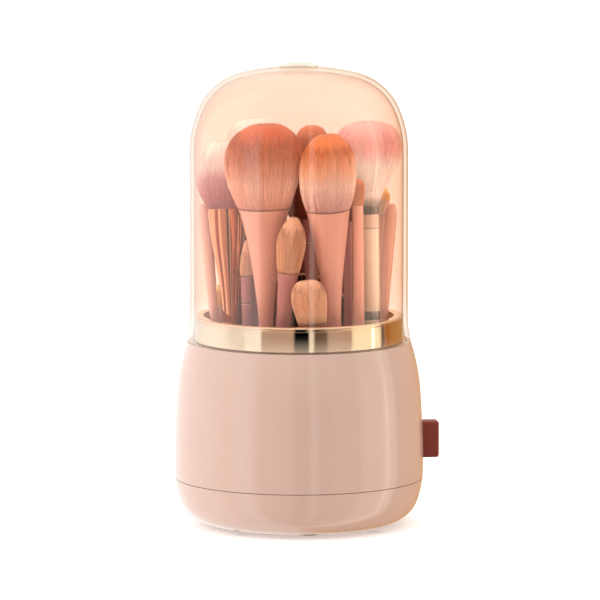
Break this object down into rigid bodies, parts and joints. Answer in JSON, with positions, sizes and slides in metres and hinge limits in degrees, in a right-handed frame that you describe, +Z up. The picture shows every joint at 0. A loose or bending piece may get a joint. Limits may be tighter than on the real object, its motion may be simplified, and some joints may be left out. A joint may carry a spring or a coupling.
{
  "type": "brush cleaner",
  "caption": "Electric makeup-brush cleaner: rounded pink motor base with side button, gold-rimmed brush holder in its wash bowl, and a clear lift-off dome over the brushes",
  "frame": {"origin": "on the axis of the round base, at the level the rubber feet stand on; the flat underside lies 1.2 mm above it", "axes": "+Z up along the axis of base, bowl and dome; -Y is the front; +X is the side with the power button; the charging port is at +Y"},
  "size_m": [0.13, 0.122, 0.2256],
  "materials": {
    "base_plastic": "gloss blush pink",
    "foot_rubber": "matte",
    "screw_steel": "satin",
    "inner_plastic": "matte",
    "motor_steel": "satin",
    "bushing_brass": "satin",
    "seal_rubber": "matte",
    "bowl_plastic": "gloss",
    "battery_wrap": "gloss",
    "contact_metal": "bright",
    "board_green": "matte",
    "chip_black": "matte",
    "gear_plastic": "matte",
    "pad_silicone": "matte",
    "button_brown": "satin",
    "flap_silicone": "matte",
    "cup_plastic": "gloss",
    "trim_gold": "mirror, pale rose gold",
    "divider_plastic": "smoky, see-through",
    "brush_pink": "satin",
    "brush_mauve": "satin",
    "brush_rose_gold": "polished",
    "brush_pale_pink": "gloss",
    "brush_white": "gloss",
    "brush_champagne": "satin",
    "brush_coral": "gloss",
    "brush_hair": "soft synthetic hair",
    "dome_clear": "clear, faint warm tint"
  },
  "bodies": {
    "base": {"rubber_feet": "foot_rubber", "bottom_cover": "base_plastic", "cover_screws": "screw_steel", "body_shell": "base_plastic", "chassis_plate": "inner_plastic", "chassis_screws": "screw_steel", "bowl_screws": "screw_steel", "motor_can": "motor_steel", "motor_end_cap": "inner_plastic", "motor_screws": "screw_steel", "lower_bushing": "bushing_brass", "upper_bushing": "bushing_brass", "shaft_seal": "seal_rubber", "wash_bowl": "bowl_plastic", "bowl_gasket": "seal_rubber", "battery_cell": "battery_wrap", "battery_contacts": "contact_metal", "circuit_board": "board_green", "board_components": "chip_black", "board_screws": "screw_steel", "usb_socket": "contact_metal", "switch_board": "board_green", "switch_body": "chip_black", "button_spring": "screw_steel"},
    "scrub_disc": {"spindle": "screw_steel", "spindle_clip": "screw_steel", "drive_gear": "gear_plastic", "disc_carrier": "inner_plastic", "scrub_pad": "pad_silicone"},
    "motor_rotor": {"motor_shaft": "motor_steel", "motor_pinion": "bushing_brass"},
    "power_button": {"power_button": "button_brown"},
    "switch_plunger": {"switch_plunger": "button_brown"},
    "usb_flap": {"usb_cover": "flap_silicone"},
    "brush_holder": {"holder_cup": "cup_plastic", "trim_ring": "trim_gold", "holder_divider": "divider_plastic", "powder_brush": "brush_pink", "blush_brush": "brush_pink", "bronzer_brush": "brush_mauve", "concealer_brush": "brush_mauve", "flat_brush": "brush_mauve", "brow_brush": "brush_mauve", "angled_brush": "brush_mauve", "fluffy_brush": "brush_rose_gold", "lip_brush": "brush_pale_pink", "needle_brush": "brush_champagne", "blending_brush": "brush_mauve", "finishing_brush": "brush_white", "highlighter_brush": "brush_champagne", "contour_brush": "brush_coral", "setting_brush": "brush_mauve", "smudge_brush": "brush_pale_pink", "shader_brush": "brush_pale_pink", "liner_brush": "brush_mauve", "crease_brushes": "brush_mauve", "mini_brush": "brush_pale_pink"},
    "dome": {"dome_cover": "dome_clear", "dome_badge": "dome_clear"}
  },
  "joints": [
    {"name": "holder_lift", "type": "slide", "parent": "base", "child": "brush_holder", "axis": [0, 0, 1], "range_m": [0, 0.06]},
    {"name": "dome_lift", "type": "slide", "parent": "brush_holder", "child": "dome", "axis": [0, 0, 1], "range_m": [0, 0.13]},
    {"name": "scrub_spin", "type": "hinge", "parent": "base", "child": "scrub_disc", "pos_m": [0, 0, 0.05], "axis": [0, 0, 1], "continuous": true},
    {"name": "rotor_spin", "type": "hinge", "parent": "base", "child": "motor_rotor", "pos_m": [-0.024, 0, 0.0375], "axis": [0, 0, 1], "continuous": true},
    {"name": "button_press", "type": "slide", "parent": "base", "child": "power_button", "axis": [-1, 0, 0], "range_m": [0, 0.001], "stiffness_N_per_m": 800, "springref_m": -0.0005, "deforming": ["button_spring"]},
    {"name": "plunger_press", "type": "slide", "parent": "base", "child": "switch_plunger", "axis": [-1, 0, 0], "range_m": [0, 0.001]},
    {"name": "usb_flap_hinge", "type": "hinge", "parent": "base", "child": "usb_flap", "pos_m": [-0.0083, 0.06025, 0.0273], "axis": [0, 0, 1], "range_deg": [0, 110]}
  ],
  "couplings": [
    {"joint": "rotor_spin", "follows": "scrub_spin", "ratio": -3},
    {"joint": "plunger_press", "follows": "button_press", "ratio": 1}
  ]
}
